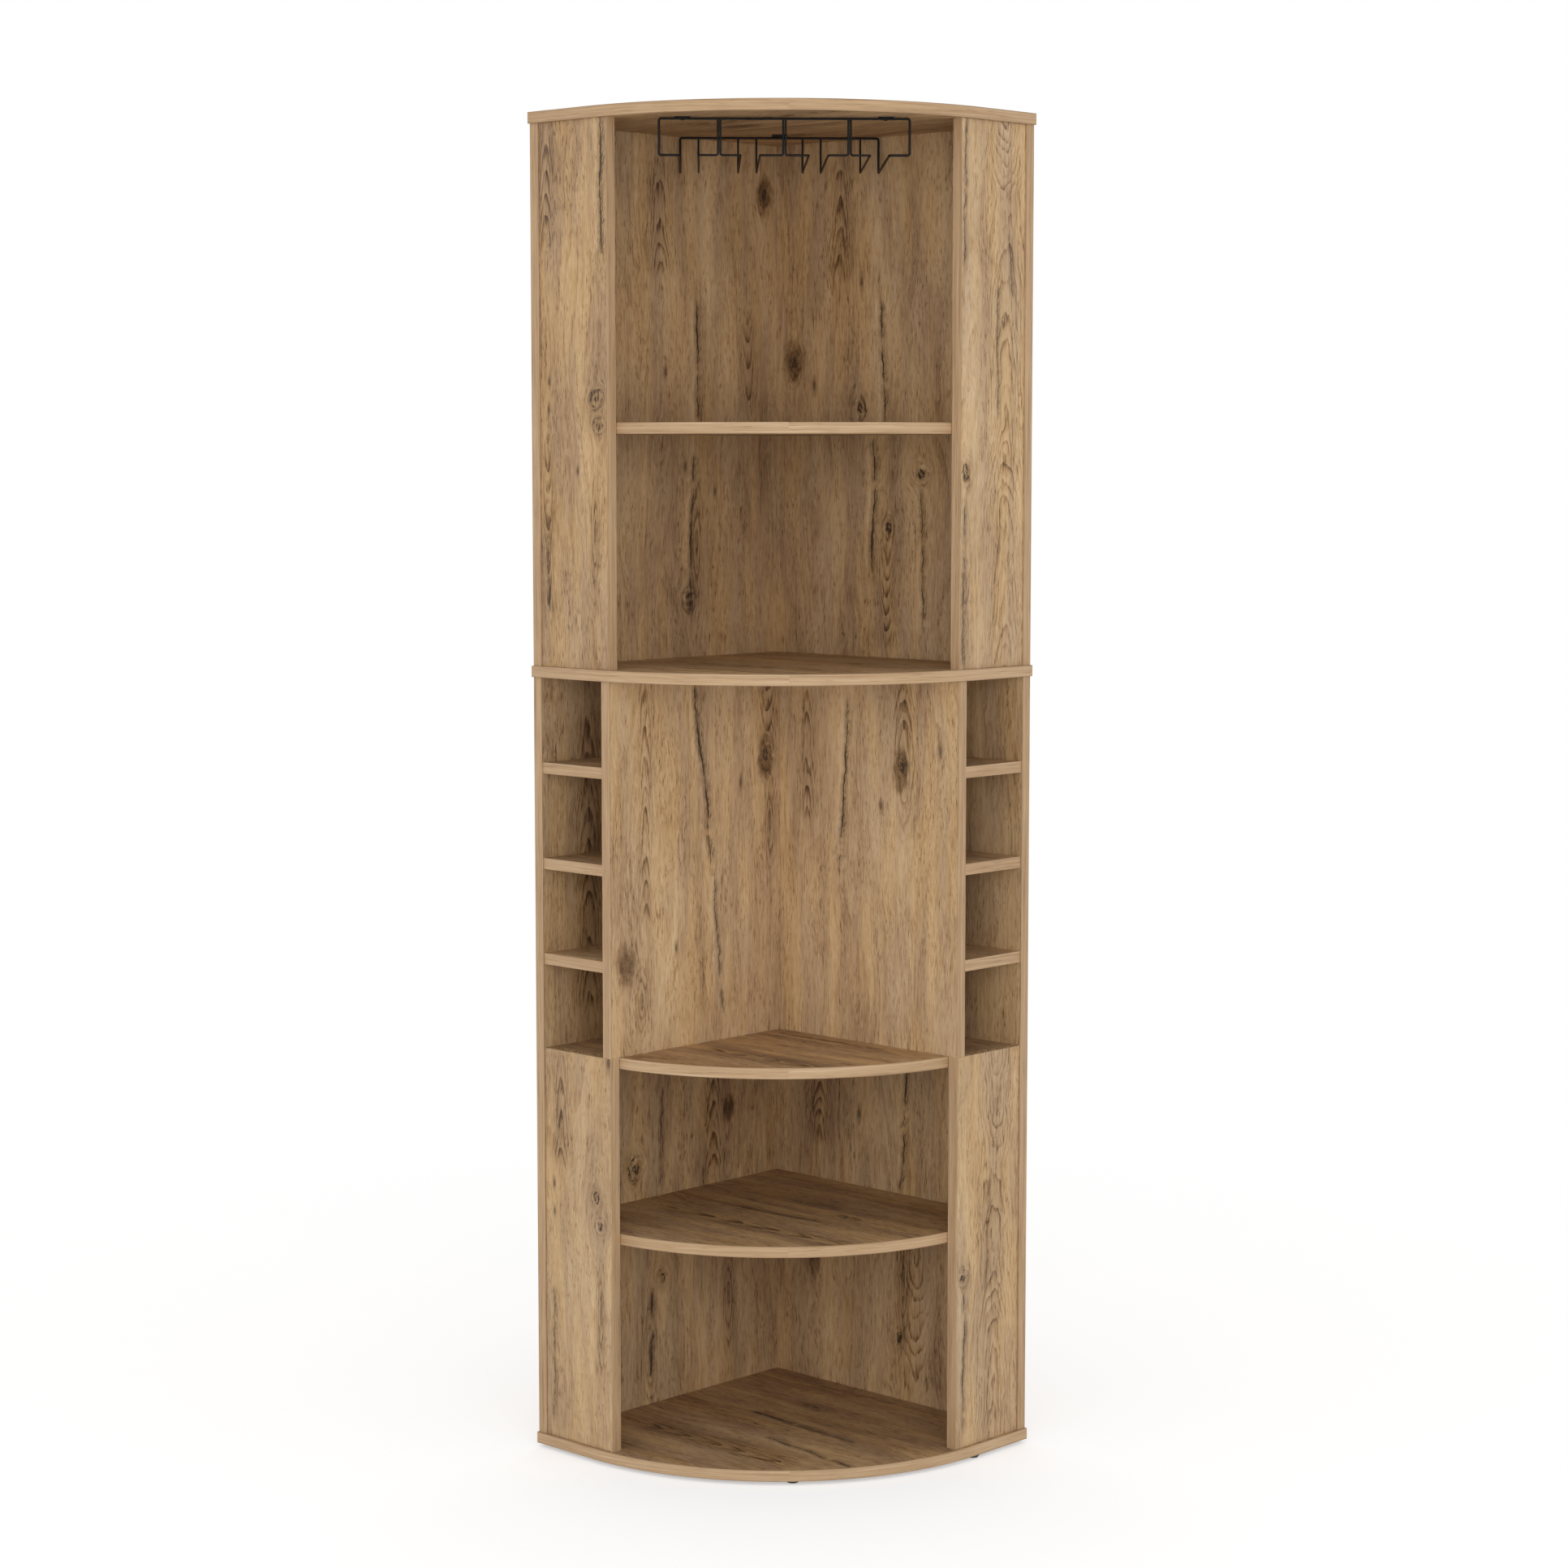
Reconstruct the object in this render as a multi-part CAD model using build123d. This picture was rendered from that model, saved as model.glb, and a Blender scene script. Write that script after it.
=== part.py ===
from build123d import *
from math import sqrt
import os

# Corner bar cabinet. Lengths in mm, +Z up, feet on Z = 0.
# The back corner of the room is at -X +Y: the right wall runs along X, the left wall along Y,
# and the rounded front faces +X -Y. The origin is under the centre of the plan square.

# Boards
wall_length = 475.0
overall_height = 1800.0
board = 15.0
edge_band = 1.0
panel_curve_lead = 35.0
shelf_curve_lead = 29.0
wall_setback = 1.0
wall_panel_end_setback = 3.0
end_panel_setback = 5.0
counter_top_height = 1070.0
lower_shelf_clear = 281.0
upper_shelf_clear = 308.0

# Bottle cubbies
cubby_width = 114.0
cubby_height = 114.0
cubby_levels = 4

# Glides
glide_height = 5.0
glide_radius = 10.0
glide_sole_radius = 7.5
glide_rim = 1.5
front_glide_inset = 16.0
rear_glide_inset = 40.0
side_glide_inset = 13.5
side_glide_reach = 107.5
glide_drift = 6.5
nail_radius = 1.1
nail_length = 12.0
nail_cover = 2.0
nail_clearance = 0.1

# Assembly screws
screw_radius = 2.0
screw_head_radius = 4.0
screw_head_height = 3.0
screw_length = 45.0
screw_point = 4.0
screw_clearance = 0.1
screw_end_share = 0.12
bay_end_share = 0.25
screw_recess = 0.5
drive_radius = 1.6
drive_depth = 1.8
drive_sides = 6

# Dowels
dowel_radius = 4.0
dowel_length = 30.0
dowel_face_depth = 10.0
dowel_clearance = 0.1
dowel_chamfer = 0.8
dowel_end_share = 0.25

# Stemware rack
frame_wire_radius = 1.6
hook_wire_radius = 1.4
wire_bend = 3.0
weld_depth = 0.3
pair_gap = 0.4
rack_rear_clearance = 11.5
rack_front_inset = 83.5
rack_drop = 46.5
slot_width = 25.0
centre_foot = 30.0
outer_foot = 26.0
tab_width = 20.0
tab_length = 30.0
tab_thickness = 1.5
tab_corner = 3.0
front_tab_inset = 30.3
rack_screw_radius = 1.6
rack_screw_length = 11.0
rack_screw_head_radius = 3.6
rack_screw_head_height = 2.2
rack_screw_point = 2.0
rack_screw_clearance = 0.15

overrun = 5.0

# Levels and offsets worked out from the sizes above
base_bottom = glide_height
base_top = base_bottom + board
lower_shelf_bottom = base_top + lower_shelf_clear
lower_shelf_top = lower_shelf_bottom + board
counter_bottom = counter_top_height - board
cubby_pitch = cubby_height + board
bar_shelf_top = counter_top_height - cubby_levels * cubby_pitch
bar_shelf_bottom = bar_shelf_top - board
upper_shelf_bottom = counter_top_height + upper_shelf_clear
upper_shelf_top = upper_shelf_bottom + board
top_bottom = overall_height - board

wall_face = wall_setback + board
divider_back = wall_face + cubby_width
divider_face = divider_back + board
wall_panel_end = wall_length - wall_panel_end_setback
end_panel_outer = wall_length - end_panel_setback
end_panel_inner = end_panel_outer - board

# The curves start a little behind the front of the end panels
front_radius = wall_length - divider_face + panel_curve_lead
shelf_radius = end_panel_inner - divider_face + shelf_curve_lead
front_reach = (wall_length - front_radius) * sqrt(2) + front_radius

low_corner = (Align.MIN, Align.MIN, Align.MIN)
diagonal_mirror = Plane(origin=(0, 0, 0), x_dir=(0, 0, 1), z_dir=(1, 1, 0))


def place(shape):
    """Move a shape from the room corner to the plan centre."""
    return Pos(-wall_length / 2, wall_length / 2, 0) * shape


def to_left(shape):
    """Mirror a right-wall shape to the left wall."""
    return mirror(shape, about=diagonal_mirror)


def slab(along_from, along_to, off_from, off_to, low, high):
    """Board on the right wall, given along the wall, off the wall and in height."""
    size = Box(along_to - along_from, off_to - off_from, high - low, align=low_corner)
    return Pos(along_from, -off_to, low) * size


def quarter_outline(back, reach, radius):
    """Square plan from back to reach on both walls, its front corner rounded."""
    centre = reach - radius
    middle = centre + radius / sqrt(2)
    outline = [
        Line((back, -back), (reach, -back)),
        Line((reach, -back), (reach, -centre)),
        ThreePointArc((reach, -centre), (middle, -middle), (centre, -reach)),
        Line((centre, -reach), (back, -reach)),
        Line((back, -reach), (back, -back)),
    ]
    return make_face(outline)


def quarter_panel(bottom):
    """Full panel and the band that wraps its two ends and its curve."""
    whole = extrude(Pos(0, 0, bottom) * quarter_outline(0, wall_length, front_radius), board)
    inner_reach = wall_length - edge_band
    inner_radius = front_radius - edge_band
    core = extrude(Pos(0, 0, bottom) * quarter_outline(0, inner_reach, inner_radius), board)
    return core, whole - core


def inset_shelf(bottom):
    """Shelf between the end panels and the band on its curve."""
    whole = extrude(
        Pos(0, 0, bottom) * quarter_outline(wall_face, end_panel_inner, shelf_radius), board
    )
    centre = end_panel_inner - shelf_radius
    ring = Circle(shelf_radius) - Circle(shelf_radius - edge_band)
    sector = Pos(centre, -centre, bottom) * (
        extrude(ring, board)
        & Pos(0, -shelf_radius, 0) * Box(shelf_radius, shelf_radius, board, align=low_corner)
    )
    return whole - sector, sector


def wall_panel(start, low, high):
    """Wall panel and the band on its free end."""
    core_end = wall_panel_end - edge_band
    core = slab(start, core_end, wall_setback, wall_face, low, high)
    return core, slab(core_end, wall_panel_end, wall_setback, wall_face, low, high)


def end_panel(low, high):
    """End panel and the band on its front edge."""
    core_front = divider_face - edge_band
    core = slab(end_panel_inner, end_panel_outer, wall_face, core_front, low, high)
    return core, slab(end_panel_inner, end_panel_outer, core_front, divider_face, low, high)


def rack_divider(start):
    """Upright between the cubbies and the niche, and the band on its end."""
    core_end = end_panel_outer - edge_band
    core = slab(start, core_end, divider_back, divider_face, bar_shelf_top, counter_bottom)
    band = slab(core_end, end_panel_outer, divider_back, divider_face, bar_shelf_top,
                counter_bottom)
    return core, band


def cubby_shelf(top):
    """Bottle shelf of one cubby and the band on its end."""
    core_end = end_panel_outer - edge_band
    core = slab(divider_face, core_end, wall_face, divider_back, top - board, top)
    return core, slab(core_end, end_panel_outer, wall_face, divider_back, top - board, top)


parts = {}


def add(name, core, band):
    parts[name] = core
    parts[name + "_edge_band"] = band


add("base_panel", *quarter_panel(base_bottom))
add("counter_panel", *quarter_panel(counter_bottom))
add("top_panel", *quarter_panel(top_bottom))
add("lower_shelf", *inset_shelf(lower_shelf_bottom))
add("bar_shelf", *inset_shelf(bar_shelf_bottom))
add("upper_shelf", *inset_shelf(upper_shelf_bottom))

sides = {"right": lambda shape: shape, "left": to_left}
wall_start = {"right": wall_setback, "left": wall_face}
divider_start = {"right": divider_back, "left": divider_face}

for side, turn in sides.items():
    pieces = {
        "lower_wall_panel": wall_panel(wall_start[side], base_top, counter_bottom),
        "upper_wall_panel": wall_panel(wall_start[side], counter_top_height, top_bottom),
        "lower_end_panel": end_panel(base_top, bar_shelf_top),
        "upper_end_panel": end_panel(counter_top_height, top_bottom),
        "rack_divider": rack_divider(divider_start[side]),
    }
    for name, (core, band) in pieces.items():
        add(side + "_" + name, turn(core), turn(band))
    for level in range(1, cubby_levels):
        core, band = cubby_shelf(bar_shelf_top + level * cubby_pitch)
        parts[f"{side}_cubby_shelf_{level}"] = turn(core)
        parts.setdefault(side + "_cubby_edge_bands", []).append(turn(band))


# Fasteners
def revolved(points):
    """Solid turned about Z from a closed outline given as radius and height."""
    outline = make_face(Polyline(*[(x, 0, z) for x, z in points], close=True))
    return revolve(outline, Axis.Z)


def assembly_screw(clearance):
    """Countersunk screw with its head at Z = 0 and its point down, or the space it needs."""
    head = screw_head_radius + clearance
    shank = screw_radius + clearance
    point = -screw_length + screw_point
    top = screw_recess + overrun if clearance else 0
    outline = [(0, top), (head, top), (head, 0), (shank, -screw_head_height),
               (shank, point), (0, -screw_length - clearance)]
    if not clearance:
        outline = [(0, 0)] + outline[2:]
    return revolved(outline)


screw_space = Pos(0, 0, -screw_recess) * assembly_screw(screw_clearance)
screw_body = Pos(0, 0, -screw_recess) * (
    assembly_screw(0) - extrude(RegularPolygon(drive_radius, drive_sides), -drive_depth)
)

dowel_edge_depth = dowel_length - dowel_face_depth
dowel_body = chamfer(Cylinder(dowel_radius, dowel_length).edges().filter_by(GeomType.CIRCLE),
                     dowel_chamfer)
dowel_body = Pos(0, 0, dowel_face_depth - dowel_length / 2) * dowel_body
dowel_space = Pos(0, 0, dowel_face_depth - dowel_length / 2) * Cylinder(
    dowel_radius + dowel_clearance, dowel_length + 2 * dowel_clearance
)

screws = []
dowels = []
cuts = {}


def fasten(body, space, store, where, names, turn):
    """Put a fastener at a place and keep the space it takes in each board it joins."""
    store.append(turn(where * body))
    for name in names:
        cuts.setdefault(name, []).append(turn(where * space))


def facing(along, off, height, direction):
    """Place on the right wall whose Z points in the direction."""
    return Plane(origin=(along, -off, height), z_dir=direction).location


def spread(start, end, count, end_share):
    """Evenly spaced places between start and end, the outer ones kept in by a share."""
    margin = (end - start) * end_share
    step = (end - start - 2 * margin) / (count - 1)
    return [start + margin + step * i for i in range(count)]


up, down = (0, 0, 1), (0, 0, -1)
to_wall, from_wall = (0, 1, 0), (0, -1, 0)
to_end = (1, 0, 0)
wall_middle = wall_setback + board / 2
end_middle = end_panel_inner + board / 2
divider_middle = divider_back + board / 2
shelf_flat = end_panel_inner - shelf_radius
wall_count = 3
wide_count = 2
tall_count = 4

for side, turn in sides.items():
    lower_wall = side + "_lower_wall_panel"
    upper_wall = side + "_upper_wall_panel"
    lower_end = side + "_lower_end_panel"
    upper_end = side + "_upper_end_panel"
    divider = side + "_rack_divider"

    def screw(where, *names):
        fasten(screw_body, screw_space, screws, where, names, turn)

    def dowel(where, *names):
        fasten(dowel_body, dowel_space, dowels, where, names, turn)

    for along in spread(wall_face, end_panel_inner, wall_count, screw_end_share):
        screw(facing(along, wall_middle, base_bottom, down), "base_panel", lower_wall)
        screw(facing(along, wall_middle, counter_top_height, up), "counter_panel", lower_wall)
        screw(facing(along, wall_middle, overall_height, up), "top_panel", upper_wall)
    for along in spread(wall_face, end_panel_inner, wide_count, dowel_end_share):
        dowel(facing(along, wall_middle, counter_top_height, down), "counter_panel", upper_wall)

    for off in spread(wall_face, divider_face, wide_count, screw_end_share):
        screw(facing(end_middle, off, base_bottom, down), "base_panel", lower_end)
    for off in spread(wall_face, divider_face, wide_count, dowel_end_share):
        screw(facing(end_middle, off, counter_bottom, down), "counter_panel", upper_end)
        screw(facing(end_middle, off, overall_height, up), "top_panel", upper_end)
    for low, high, wall, end in ((base_top, lower_shelf_bottom, lower_wall, lower_end),
                                 (lower_shelf_top, bar_shelf_bottom, lower_wall, lower_end),
                                 (counter_top_height, upper_shelf_bottom, upper_wall, upper_end),
                                 (upper_shelf_top, top_bottom, upper_wall, upper_end)):
        for height in spread(low, high, wide_count, bay_end_share):
            screw(facing(end_middle, wall_setback, height, to_wall), wall, end)

    shelves = {
        "lower_shelf": (lower_shelf_bottom, lower_wall, lower_end),
        "bar_shelf": (bar_shelf_bottom, lower_wall, lower_end),
        "upper_shelf": (upper_shelf_bottom, upper_wall, upper_end),
    }
    for name, (bottom, wall, end) in shelves.items():
        level = bottom + board / 2
        for along in spread(divider_face, end_panel_inner, wide_count, dowel_end_share):
            screw(facing(along, wall_setback, level, to_wall), wall, name)
        for off in spread(wall_face, shelf_flat, wide_count, dowel_end_share):
            dowel(facing(end_panel_inner, off, level, to_end), end, name)

    for along in spread(divider_face, end_panel_outer, wide_count, dowel_end_share):
        screw(facing(along, divider_middle, bar_shelf_bottom, down), "bar_shelf", divider)
        dowel(facing(along, divider_middle, counter_bottom, up), "counter_panel", divider)
        for level in range(1, cubby_levels):
            middle = bar_shelf_top + level * cubby_pitch - board / 2
            cubby = f"{side}_cubby_shelf_{level}"
            screw(facing(along, wall_setback, middle, to_wall), lower_wall, cubby)
            dowel(facing(along, divider_back, middle, from_wall), divider, cubby)

for low, high, level in ((base_top, counter_bottom, "lower"),
                         (counter_top_height, top_bottom, "upper")):
    names = (f"right_{level}_wall_panel", f"left_{level}_wall_panel")
    for height in spread(low, high, tall_count, screw_end_share):
        fasten(screw_body, screw_space, screws,
               facing(wall_middle, wall_setback, height, to_wall), names, sides["right"])


# Glides
nail_hole = nail_radius + nail_clearance
glide_body = revolved([(0, nail_cover), (0, 0), (glide_sole_radius, 0),
                       (glide_radius, glide_height - glide_rim), (glide_radius, glide_height),
                       (nail_radius, glide_height), (nail_radius, nail_cover)])
nail_body = Pos(0, 0, nail_cover) * revolved([
    (0, 0), (nail_radius, 0), (nail_radius, nail_length - 2 * nail_radius), (0, nail_length)])
nail_space = Pos(0, 0, glide_height) * Cylinder(
    nail_hole, nail_length, align=(Align.CENTER, Align.CENTER, Align.MIN))

front_glide = (front_reach - front_glide_inset) / sqrt(2)
side_glide = end_panel_outer - side_glide_inset
rear_glide = end_panel_outer - rear_glide_inset
even_places = [
    (rear_glide_inset, rear_glide_inset),
    (rear_glide, rear_glide_inset),
    (rear_glide_inset, rear_glide),
    (side_glide, side_glide_reach),
    (side_glide_reach, side_glide),
    (front_glide, front_glide),
]
# They are nailed on a little to the right of their even places
glide_places = [(x + glide_drift, y - glide_drift) for x, y in even_places]
glides = [Pos(x, -y, 0) * glide_body for x, y in glide_places]
nails = [Pos(x, -y, 0) * nail_body for x, y in glide_places]
cuts["base_panel"] += [Pos(x, -y, 0) * nail_space for x, y in glide_places]


# Stemware rack, drawn with its front to -Y and turned to face the rounded front
def wire_path(*points):
    """Straight runs joined by bends of one radius."""
    points = [Vector(*p) for p in points]
    edges = []
    start = points[0]
    for corner, after in zip(points[1:], points[2:]):
        incoming = (corner - start).normalized()
        outgoing = (after - corner).normalized()
        arc_start = corner - incoming * wire_bend
        arc_end = corner + outgoing * wire_bend
        edges.append(Line(start, arc_start).edge())
        edges.append(TangentArc(arc_start, arc_end, tangent=incoming).edge())
        start = arc_end
    edges.append(Line(start, points[-1]).edge())
    return Wire(edges)


def bent_wire(radius, *points):
    """Round wire of one radius along the path."""
    path = wire_path(*points)
    section = Plane(origin=path @ 0, z_dir=path % 0) * Circle(radius)
    return sweep(section, path=path)


rack_top = top_bottom - tab_thickness - frame_wire_radius + weld_depth
rack_bottom = rack_top - rack_drop
half_pair = hook_wire_radius + pair_gap / 2
first_rail = half_pair + centre_foot
second_rail = first_rail + slot_width
pair_place = second_rail + outer_foot
third_rail = pair_place + 2 * half_pair + slot_width
fourth_rail = third_rail + slot_width
rack_end = fourth_rail + outer_foot
rack_rear = wall_face * sqrt(2) + rack_rear_clearance + fourth_rail
rack_front = front_reach - rack_front_inset

right_half = bent_wire(
    frame_wire_radius, (0, -rack_rear, rack_top), (fourth_rail, -rack_rear, rack_top),
    (fourth_rail, -rack_rear, rack_bottom), (fourth_rail, -rack_front, rack_bottom),
    (rack_end, -rack_front, rack_bottom), (rack_end, -rack_front, rack_top),
    (0, -rack_front, rack_top))
for upright, rail in ((half_pair, first_rail), (pair_place, second_rail),
                      (pair_place + 2 * half_pair, third_rail)):
    right_half += bent_wire(
        hook_wire_radius, (upright, -rack_front, rack_top), (upright, -rack_front, rack_bottom),
        (rail, -rack_front, rack_bottom), (rail, -rack_rear, rack_bottom),
        (rail, -rack_rear, rack_top))

tab_bottom = top_bottom - tab_thickness
front_tab = -rack_front - frame_wire_radius + tab_length / 2
rear_tab = -rack_rear + frame_wire_radius - tab_length / 2
tab_reach = rack_end - front_tab_inset
tab_places = [(-tab_reach, front_tab), (tab_reach, front_tab), (0, rear_tab)]
tab = extrude(RectangleRounded(tab_width, tab_length, tab_corner), tab_thickness)
tab -= Cylinder(rack_screw_radius + rack_screw_clearance, 2 * (tab_thickness + overrun))

rack = right_half + mirror(right_half, about=Plane.YZ)
for x, y in tab_places:
    rack += Pos(x, y, tab_bottom) * tab
to_front = Rot(0, 0, 45)
parts["stemware_rack"] = to_front * rack

rack_screw = revolved([
    (0, 0), (rack_screw_head_radius, 0), (rack_screw_head_radius, -rack_screw_head_height / 2),
    (rack_screw_head_radius / 2, -rack_screw_head_height), (0, -rack_screw_head_height)])
rack_screw += revolved([
    (0, 0), (rack_screw_radius, 0), (rack_screw_radius, rack_screw_length - rack_screw_point),
    (0, rack_screw_length)])
rack_screw -= Pos(0, 0, -rack_screw_head_height) * extrude(
    RegularPolygon(drive_radius, drive_sides), rack_screw_head_height / 2)
rack_screw_space = Cylinder(rack_screw_radius + rack_screw_clearance,
                            rack_screw_length + rack_screw_clearance,
                            align=(Align.CENTER, Align.CENTER, Align.MIN))
rack_screw_places = [to_front * Pos(x, y, tab_bottom) for x, y in tab_places]
rack_screws = [where * rack_screw for where in rack_screw_places]
cuts["top_panel"] += [where * rack_screw_space for where in rack_screw_places]


# Cut, place and write
for name, tools in cuts.items():
    parts[name] = parts[name] - tools

parts["assembly_screws"] = screws
parts["dowels"] = dowels
parts["glides"] = glides
parts["glide_nails"] = nails
parts["rack_screws"] = rack_screws

os.makedirs("parts", exist_ok=True)
for name, shape in parts.items():
    if isinstance(shape, list):
        shape = Compound(children=[s for piece in shape for s in piece.solids()])
    export_step(place(shape), f"parts/{name}.step")
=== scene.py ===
import bpy
from math import radians
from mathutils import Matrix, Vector


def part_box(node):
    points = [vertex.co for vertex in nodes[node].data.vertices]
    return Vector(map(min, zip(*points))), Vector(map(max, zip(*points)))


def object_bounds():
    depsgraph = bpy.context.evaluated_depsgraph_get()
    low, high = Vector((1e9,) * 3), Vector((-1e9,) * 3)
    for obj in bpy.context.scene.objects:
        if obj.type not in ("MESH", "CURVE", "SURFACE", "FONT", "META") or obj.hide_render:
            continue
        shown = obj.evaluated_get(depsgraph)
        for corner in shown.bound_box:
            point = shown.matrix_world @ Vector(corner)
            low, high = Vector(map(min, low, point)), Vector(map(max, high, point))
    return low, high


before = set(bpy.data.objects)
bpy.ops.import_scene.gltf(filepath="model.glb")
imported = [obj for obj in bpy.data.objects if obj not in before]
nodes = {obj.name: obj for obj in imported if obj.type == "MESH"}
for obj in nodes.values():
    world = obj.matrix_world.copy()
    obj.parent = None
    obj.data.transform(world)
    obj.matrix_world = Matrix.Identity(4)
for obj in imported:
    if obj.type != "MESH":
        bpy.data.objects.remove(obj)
cad_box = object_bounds()

# Materials are drawn in millimetres, on the part's own axes.
MM = 1000.0

# Boards with a curved front: the outer radii of their edge bands, the angle where a second
# strip of band begins, and the shift along the band that gives it other streaks
CURVED = ("top_panel", "counter_panel", "base_panel", "upper_shelf", "bar_shelf", "lower_shelf")
FRONT_RADIUS = 365.0
SHELF_RADIUS = 339.0
SECOND_STRIP = radians(45.6)
STRIP_OFFSET = 900.0

# Darkening along sharp edges, partly wear and partly painted shade where boards meet: how far in it
# ends and is full, and how much of it shows
EDGE_DARK_END, EDGE_DARK_FULL = 1.4, 0.2
WEAR_AND_SHADE_SHARE = 0.5

# Flakes of the raw chipboard
FLAKE_LENGTH = 2.6
FLAKE_THICKNESS = 1.3

# How deep the grain looks, in metres
BOARD_RELIEF = 0.0004
BAND_RELIEF = 0.0003

# Floor, in metres: half its side, and the distances between which its grey paper turns to
# plain white
FLOOR_HALF = 9.0
WHITE_FROM, WHITE_BY = 1.0, 2.4
FLOOR_GREY = (0.78, 0.78, 0.78, 1.0)

# Light of the room at the horizon and overhead, and what the floor gains where it is seen
HORIZON_LIGHT, OVERHEAD_LIGHT = 1.2, 0.5
FLOOR_LIFT = 0.42

# Camera as in the photograph: its place in metres, its angles in degrees, lens and sensor
# in millimetres
CAMERA_PLACE = (3.067945, -3.225542, 1.351487)
CAMERA_TILT, CAMERA_TURN = 84.339, 43.539
CAMERA_LENS, CAMERA_SENSOR = 76.334, 36.0


def srgb(red, green, blue):
    """Linear colour from the 0-255 values a screen shows."""
    def linear(value):
        value /= 255.0
        return value / 12.92 if value <= 0.04045 else ((value + 0.055) / 1.055) ** 2.4
    return (linear(red), linear(green), linear(blue), 1.0)


class Signal:
    """A node's output that can be used in sums."""

    def __init__(self, graph, socket):
        self.graph = graph
        self.socket = socket

    def __add__(self, other):
        return self.graph.math("ADD", self, other)

    def __radd__(self, other):
        return self.graph.math("ADD", other, self)

    def __sub__(self, other):
        return self.graph.math("SUBTRACT", self, other)

    def __rsub__(self, other):
        return self.graph.math("SUBTRACT", other, self)

    def __mul__(self, other):
        return self.graph.math("MULTIPLY", self, other)

    def __truediv__(self, other):
        return self.graph.math("DIVIDE", self, other)

    def __neg__(self):
        return self.graph.math("MULTIPLY", self, -1.0)


class Graph:
    """Nodes of one tree, joined through the sums written with their outputs."""

    def __init__(self, tree):
        self.tree = tree

    def node(self, kind, **settings):
        node = self.tree.nodes.new(kind)
        for key, value in settings.items():
            setattr(node, key, value)
        return node

    def feed(self, socket, value):
        """Link a signal or socket, or set a constant."""
        if isinstance(value, Signal):
            value = value.socket
        if isinstance(value, bpy.types.NodeSocket):
            self.tree.links.new(value, socket)
        else:
            socket.default_value = value

    def feed_all(self, node, values):
        for socket, value in zip(node.inputs, values):
            self.feed(socket, value)
        return node

    def math(self, operation, *values):
        node = self.feed_all(self.node("ShaderNodeMath", operation=operation), values)
        return Signal(self, node.outputs[0])

    def vector(self, x, y, z):
        return self.feed_all(self.node("ShaderNodeCombineXYZ"), (x, y, z)).outputs[0]

    def separate(self, vector):
        node = self.feed_all(self.node("ShaderNodeSeparateXYZ"), (vector,))
        return [Signal(self, out) for out in node.outputs]

    def noise(self, x, y, z=0.0, detail=2.0):
        node = self.node("ShaderNodeTexNoise")
        self.feed(node.inputs["Vector"], self.vector(x, y, z))
        node.inputs["Scale"].default_value = 1.0
        node.inputs["Detail"].default_value = detail
        return Signal(self, node.outputs["Fac"])

    def grain(self, u, v, depth, width, length, detail=2.0):
        """Noise in cells that measure width in u and length in v."""
        return self.noise(u / width, v / length, depth, detail)

    def drift(self, seed, v, depth, length, detail=2.0):
        """Noise that changes with v alone, in cells of this length; the seed picks a line."""
        return self.noise(seed, v / length, depth, detail)

    def remap(self, interpolation, value, low, high, first, last):
        """first where the value is low, last where it is high."""
        node = self.node("ShaderNodeMapRange", interpolation_type=interpolation)
        self.feed_all(node, (value, low, high, first, last))
        return Signal(self, node.outputs[0])

    def smooth(self, value, low, high):
        """0 below low, 1 above high, soft between; falling when low is above high."""
        if low > high:
            return self.remap("SMOOTHSTEP", value, high, low, 1.0, 0.0)
        return self.remap("SMOOTHSTEP", value, low, high, 0.0, 1.0)

    def bell(self, value):
        """1 at zero, falling off on both sides."""
        return self.math("EXPONENT", -(value * value))

    def within(self, value, low, high, soft):
        """1 between low and high, fading over soft on both sides."""
        inside = self.math("MINIMUM", value - low, high - value) / soft
        return self.smooth(inside, -0.5, 0.5)

    def ramp(self, value, stops):
        """Colour of the value, between stops that give places and colours."""
        node = self.feed_all(self.node("ShaderNodeValToRGB"), (value,))
        elements = node.color_ramp.elements
        while len(elements) < len(stops):
            elements.new(0.5)
        for element, (place, colour) in zip(elements, stops):
            element.position = place
            element.color = colour
        return node.outputs["Color"]

    def mix(self, factor, first, second, blend="MIX"):
        """Mix of two colours; the node's colour sockets have no names of their own."""
        node = self.node("ShaderNodeMix", data_type="RGBA", blend_type=blend)
        self.feed(node.inputs["Factor"], factor)
        first_colour, second_colour = node.inputs[6:8]
        self.feed(first_colour, first)
        self.feed(second_colour, second)
        return node.outputs[2]

    def use(self, group, *values):
        """Outputs of a shared group fed with the values."""
        node = self.node("ShaderNodeGroup", node_tree=GROUPS[group])
        return [Signal(self, out) for out in self.feed_all(node, values).outputs]


class Surface(Graph):
    """A material's nodes, with the position on the part's axes in millimetres."""

    def __init__(self, name, specular=0.5, metallic=0.0):
        self.material = bpy.data.materials.new(name)
        self.material.use_nodes = True
        super().__init__(self.material.node_tree)
        self.shader = self.tree.nodes["Principled BSDF"]
        self.shader.inputs["Specular IOR Level"].default_value = specular
        self.shader.inputs["Metallic"].default_value = metallic
        place = self.node("ShaderNodeTexCoord")
        self.normal = place.outputs["Normal"]
        self.point = [axis * MM for axis in self.separate(place.outputs["Object"])]

    def finish(self, colour, rough, height, depth):
        """Join colour, roughness and relief to the shader; depth is in metres."""
        self.feed(self.shader.inputs["Base Color"], colour)
        self.feed(self.shader.inputs["Roughness"], rough)
        bump = self.node("ShaderNodeBump")
        bump.inputs["Distance"].default_value = depth
        self.feed(bump.inputs["Height"], height)
        self.feed(self.shader.inputs["Normal"], bump.outputs[0])
        return self.material


GROUPS = {}


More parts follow.
